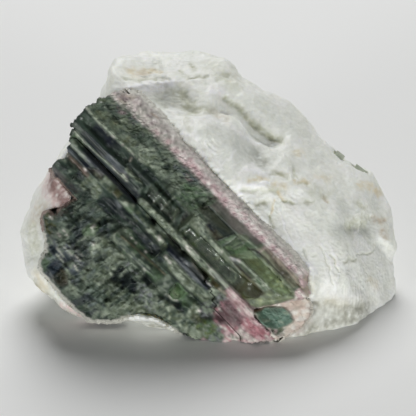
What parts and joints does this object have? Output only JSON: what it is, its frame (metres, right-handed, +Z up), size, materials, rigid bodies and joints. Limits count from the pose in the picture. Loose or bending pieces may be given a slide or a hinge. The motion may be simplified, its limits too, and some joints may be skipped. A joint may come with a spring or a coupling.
{
  "type": "tourmaline crystal specimen",
  "caption": "Hand specimen of white albite rock, broken open along striated green tourmaline crystals with pink rims, resting on a flat underside.",
  "frame": {"origin": "middle of the bounding box's bottom face, on the surface that the specimen rests on", "axes": "+X to the viewer's right along the specimen's longest side, +Y away from the viewer, +Z up; the broken face with the crystals looks along -Y and up"},
  "size_m": [0.0678, 0.046, 0.0408],
  "materials": {
    "albite": "rough broken white rock",
    "green_tourmaline": "dark green striated crystal with glassy breaks, pink along its rims",
    "teal_tourmaline": "blue-green glassy break",
    "dark_tourmaline": "near-black green crystal"
  },
  "bodies": {
    "root": {"albite_matrix": "albite", "main_crystal": "green_tourmaline", "side_crystals": "green_tourmaline", "teal_crystal": "teal_tourmaline", "rear_crystal_upper": "dark_tourmaline", "rear_crystal_lower": "dark_tourmaline"}
  },
  "joints": []
}
